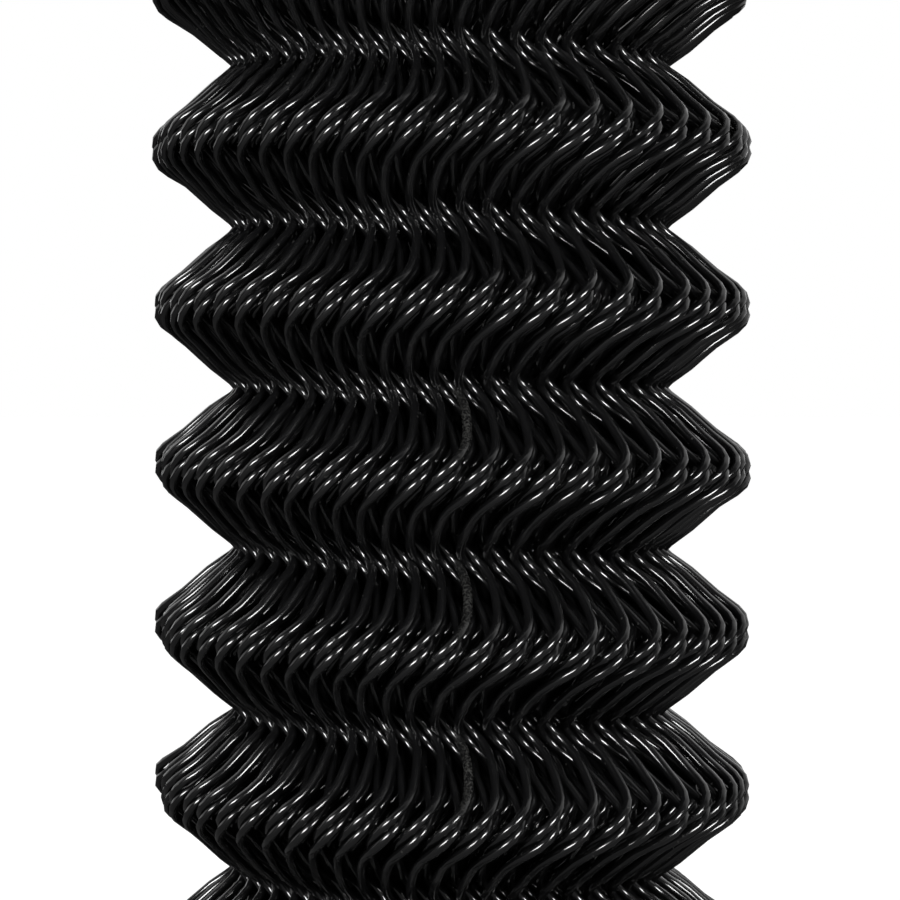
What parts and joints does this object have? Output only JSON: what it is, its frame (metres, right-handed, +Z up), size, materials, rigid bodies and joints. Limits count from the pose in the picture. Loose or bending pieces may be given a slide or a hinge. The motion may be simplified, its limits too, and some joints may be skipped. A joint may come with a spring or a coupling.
{
  "type": "compact roll of vinyl coated chain link fence fabric",
  "caption": "Standing compact roll of black vinyl coated chain link fence fabric, its interlocked wire pickets folded on edge into pleats around an open core.",
  "frame": {"origin": "centre of the roll's foot, on the floor", "axes": "+Z up along the roll's axis, -Y towards the picture's camera"},
  "size_m": [0.2726, 0.2726, 0.4532],
  "materials": {
    "black_vinyl": "glossy black vinyl coating on steel wire"
  },
  "bodies": {
    "root": {"inner_turns_01": "black_vinyl", "inner_turns_02": "black_vinyl", "inner_turns_03": "black_vinyl", "inner_turns_04": "black_vinyl", "inner_turns_05": "black_vinyl", "inner_turns_06": "black_vinyl", "inner_turns_07": "black_vinyl", "over_pickets_01": "black_vinyl", "over_pickets_02": "black_vinyl", "over_pickets_03": "black_vinyl", "over_pickets_04": "black_vinyl", "over_pickets_05": "black_vinyl", "over_pickets_06": "black_vinyl", "over_pickets_07": "black_vinyl", "over_pickets_08": "black_vinyl", "over_pickets_09": "black_vinyl", "over_pickets_10": "black_vinyl", "over_pickets_11": "black_vinyl", "over_pickets_12": "black_vinyl", "over_pickets_13": "black_vinyl", "over_pickets_14": "black_vinyl", "under_pickets_01": "black_vinyl", "under_pickets_02": "black_vinyl", "under_pickets_03": "black_vinyl", "under_pickets_04": "black_vinyl", "under_pickets_05": "black_vinyl", "under_pickets_06": "black_vinyl", "under_pickets_07": "black_vinyl", "under_pickets_08": "black_vinyl", "under_pickets_09": "black_vinyl", "under_pickets_10": "black_vinyl", "under_pickets_11": "black_vinyl", "under_pickets_12": "black_vinyl", "under_pickets_13": "black_vinyl", "under_pickets_14": "black_vinyl"}
  },
  "joints": []
}
